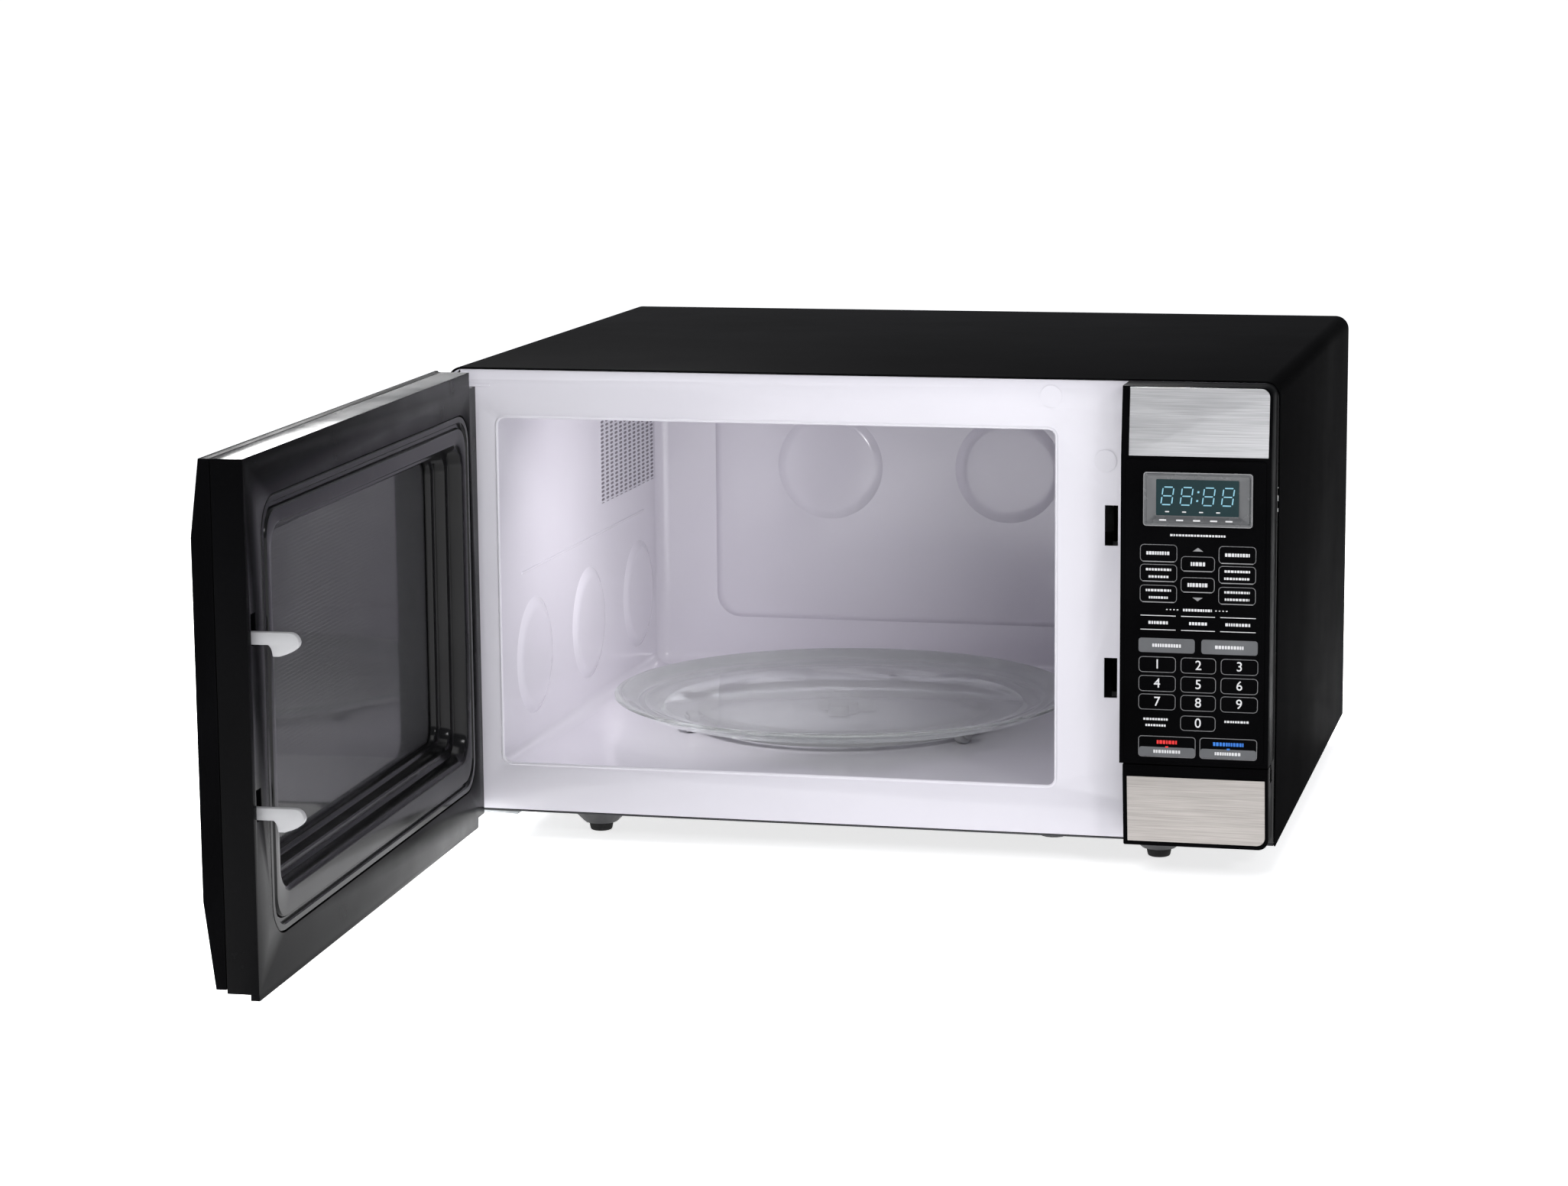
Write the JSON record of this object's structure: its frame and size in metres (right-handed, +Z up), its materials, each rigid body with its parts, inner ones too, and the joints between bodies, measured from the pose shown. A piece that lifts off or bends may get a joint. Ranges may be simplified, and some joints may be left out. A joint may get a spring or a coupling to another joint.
{
  "type": "microwave oven",
  "caption": "Counter-top microwave oven with a side-hung door, glass turntable, keypad panel, steel caps and push-to-open latch release; door open at rest.",
  "frame": {"origin": "middle of the footprint of the oven with its door open, on the surface that its feet stand on", "axes": "+Z up, +Y from the front to the back, +X to the right seen from the front"},
  "size_m": [0.524, 0.8476, 0.297],
  "materials": {
    "black_paint": "gloss black paint",
    "white_enamel": "gloss white enamel",
    "galvanised_steel": "zinc-plated sheet",
    "rubber": "matt",
    "mica": "flaky mineral sheet",
    "black_plastic": "gloss black moulding",
    "laminated_steel": "laminated sheets",
    "copper": "enamelled wire",
    "winding_tape": "wound tape",
    "white_plastic": "smooth moulding",
    "clear_glass": "clear, faint green edge",
    "circuit_board": "green solder mask",
    "brushed_steel": "fine horizontal brushing",
    "display_glass": "dark blue",
    "dark_glass": "smoked"
  },
  "bodies": {
    "cabinet": {"outer_wrap": "black_paint", "front_plate": "white_enamel", "base_plate": "galvanised_steel", "foot_front_left": "rubber", "foot_front_right": "rubber", "foot_rear_left": "rubber", "foot_rear_right": "rubber", "rear_panel": "black_paint", "cord_inlet_bush": "rubber", "oven_cavity": "white_enamel", "waveguide": "galvanised_steel", "waveguide_cover": "mica", "magnetron": "galvanised_steel", "thermal_cutout": "black_plastic", "transformer_core": "laminated_steel", "primary_winding": "copper", "secondary_winding": "winding_tape", "hv_capacitor": "galvanised_steel", "capacitor_bracket": "galvanised_steel", "hv_diode": "black_plastic", "fan_shroud": "black_plastic", "fan_motor": "laminated_steel", "lamp_bracket": "galvanised_steel", "lamp_bulb": "clear_glass", "line_filter_board": "circuit_board", "turntable_motor": "galvanised_steel", "control_panel_shell": "black_plastic", "panel_cap_top": "brushed_steel", "keypad_overlay": "black_plastic", "display_bezel": "brushed_steel", "display_window": "display_glass", "display_module": "black_plastic", "control_board": "circuit_board", "interlock_bracket": "white_plastic", "microswitch_primary": "black_plastic", "microswitch_secondary": "black_plastic", "microswitch_monitor": "black_plastic", "hinge_upper": "brushed_steel", "hinge_lower": "brushed_steel"},
    "door": {"door_frame": "black_plastic", "door_bezel": "black_plastic", "door_outer_pane": "dark_glass", "door_screen": "black_paint", "choke_cover": "black_plastic", "inner_film": "dark_glass", "door_trim_top": "brushed_steel", "door_trim_bottom": "brushed_steel", "latch_spring": "brushed_steel"},
    "latch": {"latch_key": "white_plastic"},
    "release": {"release_button": "black_plastic", "release_button_cap": "brushed_steel"},
    "lever": {"release_lever": "white_plastic"},
    "table": {"turntable_coupler": "white_plastic", "glass_turntable": "clear_glass"},
    "ring": {"roller_ring": "white_plastic"},
    "roller_a": {"roller_1": "white_plastic"},
    "roller_b": {"roller_2": "white_plastic"},
    "roller_c": {"roller_3": "white_plastic"},
    "fan": {"fan_blade": "white_plastic"}
  },
  "joints": [
    {"name": "door_hinge", "type": "hinge", "parent": "cabinet", "child": "door", "pos_m": [-0.247, -0.00624, 0.157], "axis": [0, 0, 1], "range_deg": [-17, 88]},
    {"name": "latch_lift", "type": "slide", "parent": "door", "child": "latch", "axis": [0, 0, 1], "range_m": [0, 0.0055], "stiffness_N_per_m": 150, "springref_m": -0.004},
    {"name": "release_swing", "type": "hinge", "parent": "cabinet", "child": "release", "pos_m": [0.212, -0.00374, 0.0674], "axis": [1, 0, 0], "range_deg": [0, 7], "stiffness_Nm_per_rad": 2, "springref_deg": -3.44},
    {"name": "lever_lift", "type": "slide", "parent": "cabinet", "child": "lever", "axis": [0, 0, 1], "range_m": [0, 0.0055], "stiffness_N_per_m": 80, "springref_m": -0.002},
    {"name": "table_spin", "type": "hinge", "parent": "cabinet", "child": "table", "pos_m": [-0.0465, 0.20026, 0.047], "axis": [0, 0, 1], "continuous": true},
    {"name": "ring_spin", "type": "hinge", "parent": "cabinet", "child": "ring", "pos_m": [-0.0465, 0.20026, 0.047], "axis": [0, 0, 1], "continuous": true},
    {"name": "fan_spin", "type": "hinge", "parent": "cabinet", "child": "fan", "pos_m": [0.1975, 0.37027, 0.205], "axis": [0, 1, 0], "continuous": true},
    {"name": "roller_a_spin", "type": "hinge", "parent": "ring", "child": "roller_a", "pos_m": [-0.0465, 0.30527, 0.0493], "axis": [0, 1, 0], "continuous": true},
    {"name": "roller_b_spin", "type": "hinge", "parent": "ring", "child": "roller_b", "pos_m": [-0.13743, 0.14777, 0.0493], "axis": [-0.866, -0.5, 0], "continuous": true},
    {"name": "roller_c_spin", "type": "hinge", "parent": "ring", "child": "roller_c", "pos_m": [0.04443, 0.14777, 0.0493], "axis": [0.866, -0.5, 0], "continuous": true}
  ],
  "couplings": [
    {"joint": "lever_lift", "follows": "release_swing", "m_per_rad": 0.045},
    {"joint": "ring_spin", "follows": "table_spin", "ratio": 0.5},
    {"joint": "roller_a_spin", "follows": "table_spin", "ratio": -8.4677},
    {"joint": "roller_b_spin", "follows": "table_spin", "ratio": -8.4677},
    {"joint": "roller_c_spin", "follows": "table_spin", "ratio": -8.4677}
  ]
}
